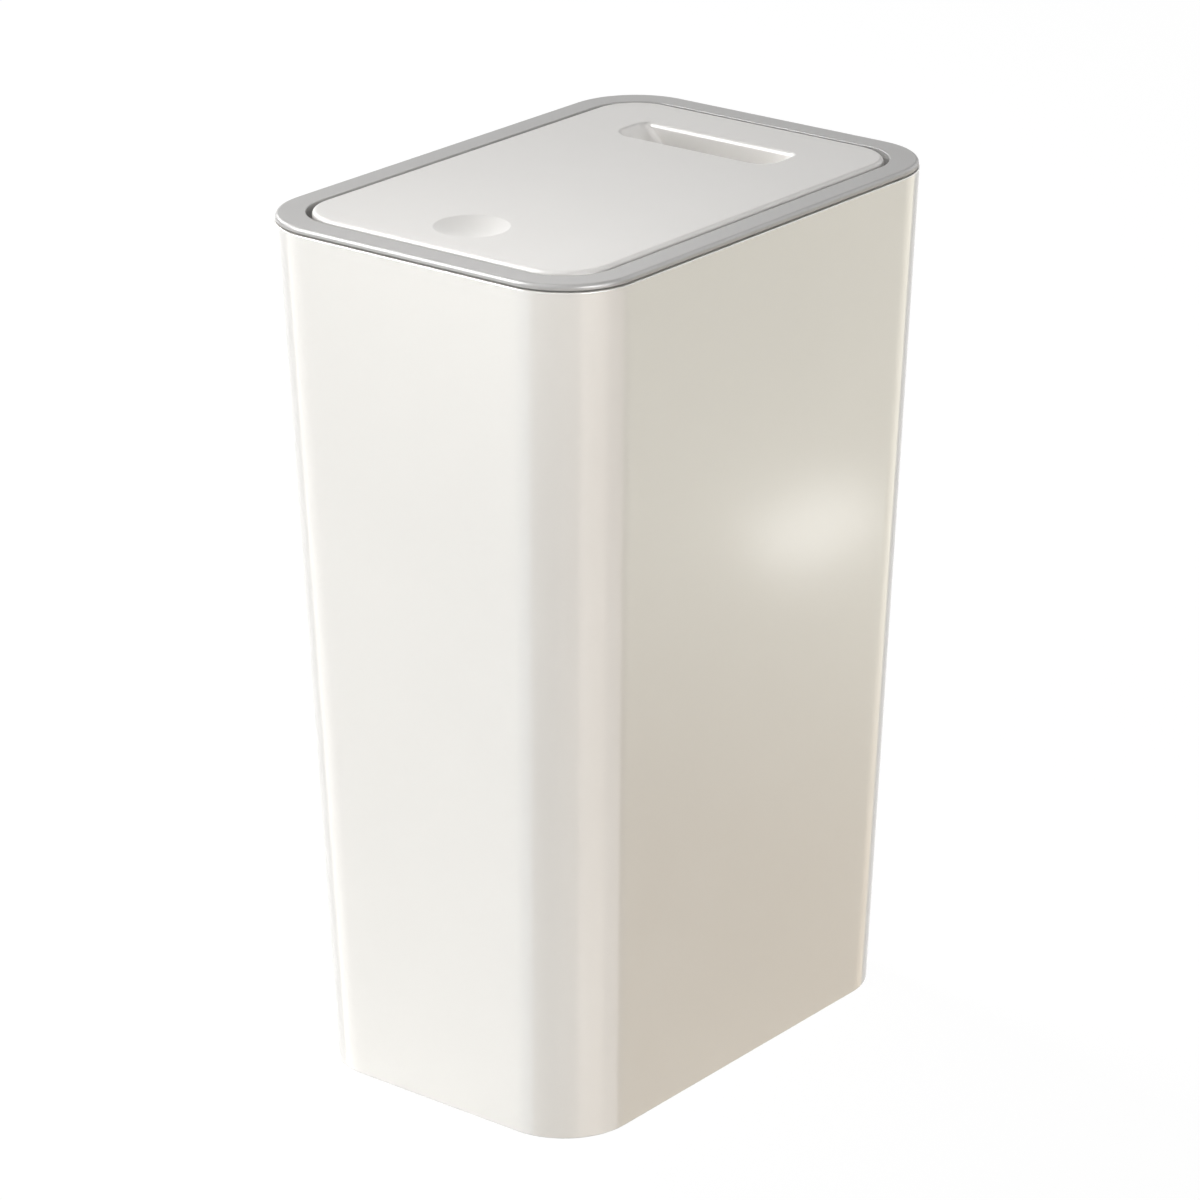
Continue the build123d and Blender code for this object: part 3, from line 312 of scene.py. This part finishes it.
def make_bucket():
    """Tapered shell with a recessed base, a rolled foot and ribs under the base."""
    b = Builder()
    foot, wall, top = BUCKET["foot"], BUCKET["wall"], BUCKET["height"]
    foot_round, rim_round, floor_round = 0.7, 0.5, 6.0
    recess, floor = 5.0, 7.6
    rows = [(recess, foot), (0.0, foot)]
    rows += [(foot_round * (1 - c), foot_round * (1 - s)) for s, c in arc(5)]
    rows += [(top * k / 8, 0.0) for k in range(1, 8)]
    rows += [(top - rim_round * (1 - s), rim_round * (1 - c)) for s, c in arc(6)]
    rows += [(top - rim_round * (1 - s), wall - rim_round * (1 - c)) for s, c in arc(6, 90, 0)]
    rows += [(top * k / 8, wall) for k in range(7, 0, -1)]
    rows += [(floor + floor_round * (1 - s), wall + floor_round * (1 - c)) for s, c in arc(8)]
    loops = [b.loop(bucket_plan(z, inset), z) for z, inset in rows]
    b.tube(loops)
    b.cap(loops[0])
    b.cap(loops[-1])
    shell = b.finish("bucket_shell")
    half, low, high = BASE_RIB["half_width"], recess - BASE_RIB["depth"], recess + 0.6
    half_x = BUCKET["base"][0] / 2 - foot + half
    half_y = BUCKET["base"][1] / 2 - foot + half
    ribs = []
    for k in (-1, 0, 1):
        x, y = BASE_RIB["step_x"] * k, BASE_RIB["step_y"] * k
        ribs.append(box(f"rib_across_{k}", (-half_x, y - half, low), (half_x, y + half, high)))
        ribs.append(box(f"rib_along_{k}", (x - half, -half_y, low), (x + half, half_y, high)))
    apply_cuts(shell, ribs, "UNION")
    return shell


def make_ring():
    """Flat-topped ring with a locating wall inside the bucket's rim, a lip round its opening and bosses."""
    b = Builder()
    outer_round, inner_round, lower_round = 1.7, 0.4, 0.15
    shadow_line, shadow_depth = 0.5, 1.7
    lip_wall, lip_low = 1.8, 384.3
    edge_low = RING_BOTTOM + shadow_line
    lip = tuple(v + lip_wall for v in OPENING_HALF)
    rows = [(plan(OPENING_HALF), lip_low)]
    for s, c in arc(5):
        rows.append((plan(OPENING_HALF, -inner_round * (1 - c)), RING_TOP - inner_round * (1 - s)))
    for s, c in arc(7, 90, 0):
        rows.append((plan(RING_HALF, outer_round * (1 - c)), RING_TOP - outer_round * (1 - s)))
    for s, c in arc(4):
        rows.append((plan(RING_HALF, lower_round * (1 - c)), edge_low + lower_round * (1 - s)))
    rows += [(plan(RING_HALF, shadow_depth), z) for z in (edge_low, RING_BOTTOM)]
    outer, inner, locator_low = LOCATOR["outer_inset"], LOCATOR["inner_inset"], LOCATOR["bottom"]
    rows += [(bucket_plan(z, outer), z) for z in (RING_BOTTOM, locator_low)]
    rows += [(bucket_plan(z, inner), z) for z in (locator_low, RING_BOTTOM)]
    rows += [(plan(lip), RING_BOTTOM), (plan(lip), lip_low)]
    b.tube([b.loop(outline, z) for outline, z in rows], closed=True)
    radius, bore, sides = RING_BOSS["radius"], RING_BOSS["bore"], 32
    for x, y in RING_BOSS["spots"]:
        for cx, cy in ((sx * x, sy * y) for sx in (-1, 1) for sy in (-1, 1)):
            low = b.ring(cx, cy, radius, RING_BOSS["bottom"], sides)
            high = b.ring(cx, cy, radius, RING_BOTTOM + 0.2, sides)
            bore_low = b.ring(cx, cy, bore, RING_BOSS["bottom"], sides)
            bore_high = b.ring(cx, cy, bore, RING_BOSS["bore_top"], sides)
            b.tube([bore_high, bore_low, low, high])
            b.cap(high)
            b.cap(bore_high)
    return b.finish("rim_ring")


def grip_outline(grow=0.0):
    """Outline of the grip pocket at the panel, with tighter corners at its back."""
    near, far = GRIP["near"] + grow, GRIP["far"] + grow
    half_x, half_y = GRIP["length"] / 2 + grow, GRIP["width"] / 2 + grow
    return rounded(half_x, half_y, (far, far, near, near), 12, (GRIP["x"], GRIP["y"]))


def grip_loop(b, outline, down, inward=0.0):
    """Loop of the pocket at a depth: the two ends come in as it gets deeper."""
    spots = []
    for x, y, nx, ny in outline:
        ramp = -math.copysign(GRIP["run"], x - GRIP["x"])
        spots.append((x + ramp * down / GRIP["depth"] - nx * inward, y - ny * inward))
    return b.loop(spots, LID_TOP - down)


def grip_loops(b):
    """Loops of the grip pocket from its rounded lip on the panel down to its floor."""
    edge, depth, run = GRIP["edge"], GRIP["depth"], GRIP["run"]
    outline = grip_outline()
    loops = []
    lip_steps, floor_round = 10, 1.6
    for k in range(lip_steps + 1):
        spots, heights = [], []
        for x, y, nx, ny in outline:
            slope = math.atan2(depth, run * abs(nx))
            phi = slope * k / lip_steps
            out = edge * math.tan(slope / 2) - edge * math.sin(phi)
            spots.append((x + nx * out, y + ny * out))
            heights.append(LID_TOP - edge * (1 - math.cos(phi)))
        loops.append(b.loop(spots, heights))
    loops += [grip_loop(b, outline, depth * k / 6) for k in range(1, 6)]
    for s, c in arc(5):
        loops.append(grip_loop(b, outline, depth - floor_round * (1 - s), floor_round * (1 - c)))
    return loops


def dimple_loops(b):
    """Loops of the press dimple: a soft lip and a shallow part of a sphere."""
    x, y, radius, depth = DIMPLE["x"], DIMPLE["y"], DIMPLE["radius"], DIMPLE["depth"]
    sphere = (radius**2 + depth**2) / (2 * depth)
    lip, steps = 0.35, 14
    loops = [b.ring(x, y, radius + lip, LID_TOP), b.ring(x, y, radius + lip * 0.45, LID_TOP - 0.015)]
    for k in range(steps, 0, -1):
        r = (radius - lip * 0.3) * k / steps
        loops.append(b.ring(x, y, r, LID_TOP - depth + sphere - math.sqrt(sphere**2 - r**2)))
    return loops


def tub_loops(b):
    """Loops of the grip pocket's underside, one wall thickness outside it."""
    wall, bottom_round, bevel = 2.0, 1.2, 0.35
    outline = grip_outline(wall)
    low = LID_TOP - GRIP["depth"] - wall
    rows = ((PANEL_BOTTOM, 0.0), (low + bottom_round, 0.0), (low + bevel, bevel), (low, bottom_round))
    return [grip_loop(b, outline, LID_TOP - z, inward) for z, inward in rows]


def dome_loops(b):
    """Loops of the bulge that the dimple makes in the panel's underside."""
    x, y, radius, deep, steps = DIMPLE["x"], DIMPLE["y"], DIMPLE["radius"], DIMPLE["dome"], 8
    loops = []
    for k in range(steps, 0, -1):
        loops.append(b.ring(x, y, radius * k / steps, PANEL_BOTTOM - deep * (1 - (k / steps) ** 2) ** 0.75))
    return loops


def make_lid():
    """Lid panel with its rounded edge and skirt, the grip pocket, the dimple and the hinge notches."""
    b = Builder()
    edge, skirt = 2.2, 2.0
    rows = [(plan(LID_HALF, skirt), PANEL_BOTTOM), (plan(LID_HALF, skirt), SKIRT_BOTTOM + 0.2)]
    rows += [(plan(LID_HALF, skirt - 0.2), SKIRT_BOTTOM), (plan(LID_HALF, 0.3), SKIRT_BOTTOM)]
    rows += [(plan(LID_HALF), SKIRT_BOTTOM + 0.3)]
    rows += [(plan(LID_HALF, edge * (1 - c)), LID_TOP - edge * (1 - s)) for s, c in arc(10)]
    panel = [b.loop(outline, z) for outline, z in rows]
    pocket, dish, tub, dome = grip_loops(b), dimple_loops(b), tub_loops(b), dome_loops(b)
    b.tube(panel)
    for loops in (pocket, dish, tub, dome):
        b.tube(loops)
        b.cap(loops[-1])
    b.cap(panel[-1], pocket[0], dish[0])
    b.cap(panel[0], tub[0], dome[0])
    cover = b.finish("lid_panel")
    low, back, top = SKIRT_BOTTOM - 2, LID_HALF[1] + 3, PANEL_BOTTOM + 0.12
    x0, x1, y0 = HINGE_NOTCH["x0"], HINGE_NOTCH["x1"], HINGE_NOTCH["y0"]
    recess_end = (HINGE_NOTCH["recess_y1"], HINGE_NOTCH["recess_top"])
    notches = []
    for left, right in ((x0, x1), (-x1, -x0)):
        notches.append(box("notch", (left, y0, low), (right, back, top)))
        notches.append(box("recess", (left + 0.01, y0 + 0.01, low - 1), (right - 0.01, *recess_end)))
    apply_cuts(cover, notches)
    return cover


for piece, body, node, slot, material in (
    (make_bucket(), "bucket", "bucket", "bucket_white", bucket_white),
    (make_ring(), "top_frame", "top_frame", "frame_grey", frame_grey),
    (make_lid(), "lid", "lid_cover", "lid_white", lid_white),
):
    piece.data.materials.clear()
    piece.data.materials.append(material)
    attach(piece, body)
    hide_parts(node)

# Nodes that keep their own mesh
kept = {
    "inner_frame": frame_grey,
    "lid_liner": liner_white,
    "striker": latch_grey,
    "latch_housing": latch_grey,
    "latch_carriage": latch_grey,
    "latch_jaw_left": latch_grey,
    "latch_jaw_right": latch_grey,
    "cam_wire": spring_steel,
    "jaw_pins": spring_steel,
    "hinge_pin_left": spring_steel,
    "hinge_pin_right": spring_steel,
    "hinge_spring_left": spring_steel,
    "hinge_spring_right": spring_steel,
    "frame_screws": screw_steel,
    "lid_screws": screw_steel,
    "latch_screws": screw_steel,
    "striker_screws": screw_steel,
}
for name, material in kept.items():
    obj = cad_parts[name]
    if not obj.material_slots:
        obj.data.materials.append(material)
    for holder in obj.material_slots:
        holder.material = material

# The latch spring shortens under the carriage, so it is a piece of its own with the node's shape
coil = bpy.data.objects.new("latch_coil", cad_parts["latch_spring"].data.copy())
bpy.context.scene.collection.objects.link(coil)
coil.data.materials.clear()
coil.data.materials.append(spring_steel)
shade(coil)
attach(coil, "top_frame")
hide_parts("latch_spring")
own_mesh(coil)

# Camera, as fitted to the photograph
CAN_MIDDLE = Vector((0, 0, 0.2))
CAMERA_ROLL = -0.189
camera_data = bpy.data.cameras.new("camera")
camera = bpy.data.objects.new("camera", camera_data)
bpy.context.scene.collection.objects.link(camera)
camera.location = (1.29293, -1.61544, 1.00905)
aim = (CAN_MIDDLE - camera.location).to_track_quat("-Z", "Y")
camera.rotation_mode = "QUATERNION"
camera.rotation_quaternion = aim @ Quaternion((0, 0, 1), math.radians(CAMERA_ROLL))
camera_data.lens = 147.673
camera_data.sensor_width = 36.0
camera_data.shift_x = -0.003263
camera_data.shift_y = 0.008458
camera_data.clip_start = 0.01
camera_data.clip_end = 50.0
bpy.context.scene.camera = camera


def direct_rays(tree):
    """1 for rays from the camera, a mirror or glass, 0 for the light on the object."""
    path = tree.nodes.new("ShaderNodeLightPath")
    total = path.outputs["Is Camera Ray"]
    for name in ("Is Glossy Ray", "Is Transmission Ray"):
        node = tree.nodes.new("ShaderNodeMath")
        node.operation = "MAXIMUM"
        tree.links.new(total, node.inputs[0])
        tree.links.new(path.outputs[name], node.inputs[1])
        total = node.outputs[0]
    return total


# White floor, which keeps the can's shadow, and white surroundings
FLOOR_REACH = 12.0
floor_mesh = bpy.data.meshes.new("studio_floor")
floor_corners = [(x * FLOOR_REACH, y * FLOOR_REACH, 0) for x, y in ((-1, -1), (1, -1), (1, 1), (-1, 1))]
floor_mesh.from_pydata(floor_corners, [], [(0, 1, 2, 3)])
floor = bpy.data.objects.new("studio_floor", floor_mesh)
bpy.context.scene.collection.objects.link(floor)
floor.visible_glossy = False
floor.visible_shadow = False

floor_material = bpy.data.materials.new("floor_white")
floor_material.use_nodes = True
floor_mesh.materials.append(floor_material)
tree = floor_material.node_tree
shader = tree.nodes["Principled BSDF"]
shader.inputs["Base Color"].default_value = (0.82, 0.82, 0.82, 1)
shader.inputs["Roughness"].default_value = 0.9
shader.inputs["Specular IOR Level"].default_value = 0.0
glow = tree.nodes.new("ShaderNodeEmission")
glow.inputs["Color"].default_value = (1, 1, 1, 1)
glow.inputs["Strength"].default_value = 1.067
glow_share = tree.nodes.new("ShaderNodeMath")
glow_share.operation = "MULTIPLY"
glow_share.inputs[1].default_value = 0.9
mix = tree.nodes.new("ShaderNodeMixShader")
tree.links.new(direct_rays(tree), glow_share.inputs[0])
tree.links.new(glow_share.outputs[0], mix.inputs["Fac"])
tree.links.new(shader.outputs[0], mix.inputs[1])
tree.links.new(glow.outputs[0], mix.inputs[2])
tree.links.new(mix.outputs[0], tree.nodes["Material Output"].inputs["Surface"])

world = bpy.data.worlds.new("studio")
bpy.context.scene.world = world
world.use_nodes = True
tree = world.node_tree
background = tree.nodes["Background"]
background.inputs["Color"].default_value = (1, 1, 1, 1)
strength = tree.nodes.new("ShaderNodeMapRange")
strength.inputs["To Min"].default_value = 0.185
strength.inputs["To Max"].default_value = 1.0
tree.links.new(direct_rays(tree), strength.inputs["Value"])
tree.links.new(strength.outputs["Result"], background.inputs["Strength"])

bpy.context.scene.view_settings.view_transform = "Standard"

# Lamps. Powers are in watts, azimuths in degrees from the front (-Y) towards the right side (+X)
NEAR_CORNER = Vector((0.067, -0.12, 0))
PANEL_DISTANCE = 1.5
BELOW_FLOOR = (-1.3, 0.1)


def softbox(name, location, target, width, height, power, diffuse=True):
    """Rectangular area lamp aimed at a point. Without diffuse it only shows in glossy surfaces."""
    data = bpy.data.lights.new(name, "AREA")
    data.shape = "RECTANGLE"
    data.size = width
    data.size_y = height
    data.energy = power
    lamp = bpy.data.objects.new(name, data)
    bpy.context.scene.collection.objects.link(lamp)
    lamp.location = location
    lamp.rotation_mode = "QUATERNION"
    lamp.rotation_quaternion = (Vector(target) - Vector(location)).to_track_quat("-Z", "Y")
    lamp.visible_camera = False
    lamp.visible_diffuse = diffuse
    return lamp


def toward(azimuth, elevation=0.0):
    """Direction from the can."""
    a, e = math.radians(azimuth), math.radians(elevation)
    return Vector((math.sin(a) * math.cos(e), -math.cos(a) * math.cos(e), math.sin(e)))


def studio_lamp(name, azimuth, elevation, distance, side, power):
    """Square softbox that looks at the middle of the can."""
    place = CAN_MIDDLE + toward(azimuth, elevation) * distance
    return softbox(name, place, CAN_MIDDLE, side, side, power)


def reflection_panel(name, azimuths, radiance, heights=BELOW_FLOOR, colour=(1.0, 1.0, 1.0)):
    """Upright panel round the front right corner, between two azimuths, that only shows as a reflection."""
    ends = [NEAR_CORNER + toward(a) * PANEL_DISTANCE for a in azimuths]
    middle = (ends[0] + ends[1]) / 2 + Vector((0, 0, sum(heights) / 2))
    target = Vector((NEAR_CORNER.x, NEAR_CORNER.y, middle.z))
    width, height = (ends[1] - ends[0]).length, heights[1] - heights[0]
    panel = softbox(name, middle, target, width, height, radiance * math.pi * width * height, diffuse=False)
    panel.data.color = colour


studio_lamp("key", -95, 27, 2.2, 0.8, 32.0)
studio_lamp("front", 10, 15, 2.2, 1.2, 9.4)
studio_lamp("right", 85, 15, 2.2, 1.0, 1.3)
softbox("over_lid", (0.05, -0.25, 0.68), (0, -0.1, 0.4), 0.2, 0.2, 0.53)

# Bands round the corner of the glossy bucket
CORNER_TINT = (1.12, 0.98, 0.85)
reflection_panel("left_glow", (-125, -78), 0.7)
reflection_panel("front_glow", (-78, -32.3), 3.05, colour=(1.02, 1.0, 0.96))
reflection_panel("corner_step", (-32.3, -12.3), 2.75)
for name, azimuths, radiance in (
    ("corner_low", (-12.3, 30), 1.75),
    ("corner_mid", (30, 58.7), 2.1),
    ("corner_band", (58.7, 98.7), 3.4),
    ("corner_side", (98.7, 127), 2.7),
):
    reflection_panel(name, azimuths, radiance, colour=CORNER_TINT)

# The right side darkens and warms towards the floor, in steps of height
SIDE_BOTTOM = Vector((1.3, 0.98, 0.58))
SIDE_TOP = Vector((1.98, 1.82, 1.42))
SIDE_LEVELS = (-1.3, -0.5, -0.46, -0.42, -0.38, -0.34, -0.3, 0.4)
for step, heights in enumerate(zip(SIDE_LEVELS, SIDE_LEVELS[1:])):
    tint = SIDE_BOTTOM.lerp(SIDE_TOP, step / 6)
    reflection_panel(f"side_glow_{step}", (127, 175), 1.0, heights, tint)

# Highlights on the ring's and the lid's rounded edges
reflection_panel("left_strip", (-62, -35), 38.0, (0.5, 2.0))
reflection_panel("right_strip", (60, 98), 20.0, (0.3, 1.2))
reflection_panel("back_strip", (125, 185), 3.0, (0.4, 1.7))

# Slanted highlight on the right side
streak = softbox("side_streak", (0.716, 0.943, -0.21), (0, 0, 0), 0.1, 0.05, 0.075, diffuse=False)
along = Vector((-0.018, 0.109, 0.023)).normalized()
facing = along.cross(Vector((0.006, 0.004, 0.053))).normalized()
streak.rotation_quaternion = Matrix((along, facing.cross(along), facing)).transposed().to_quaternion()
